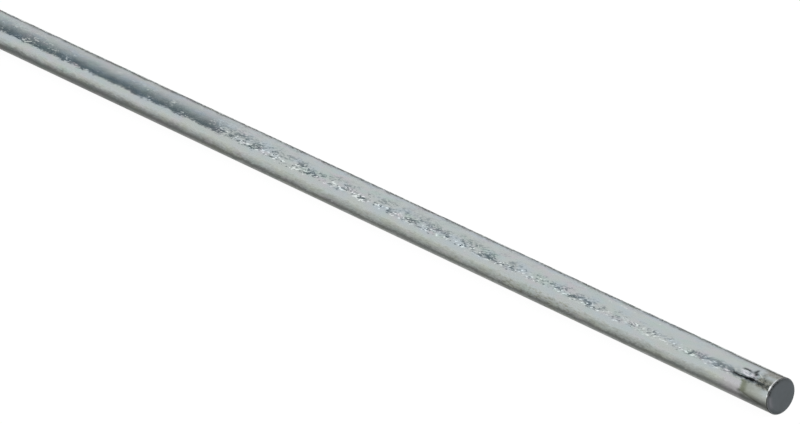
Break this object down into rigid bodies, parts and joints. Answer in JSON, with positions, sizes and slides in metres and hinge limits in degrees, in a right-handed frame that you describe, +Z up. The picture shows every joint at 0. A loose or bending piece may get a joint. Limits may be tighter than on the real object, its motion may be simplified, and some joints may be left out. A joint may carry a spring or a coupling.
{
  "type": "axle rod",
  "caption": "Plain round zinc-plated steel axle rod, cut square at both ends, that wheels turn on and brackets or push nuts grip.",
  "frame": {"origin": "on the rod's axis, midway between the two end faces", "axes": "+X along the axis towards the near end, the one with the grip mark; +Z up; the grip mark lies between +Z and -Y"},
  "size_m": [0.9144, 0.0126, 0.0126],
  "materials": {
    "zinc_plate": "satin zinc plate on cold-drawn steel, finely mottled, with bare dark steel on the cut end faces"
  },
  "bodies": {
    "root": {"axle_rod": "zinc_plate"}
  },
  "joints": []
}
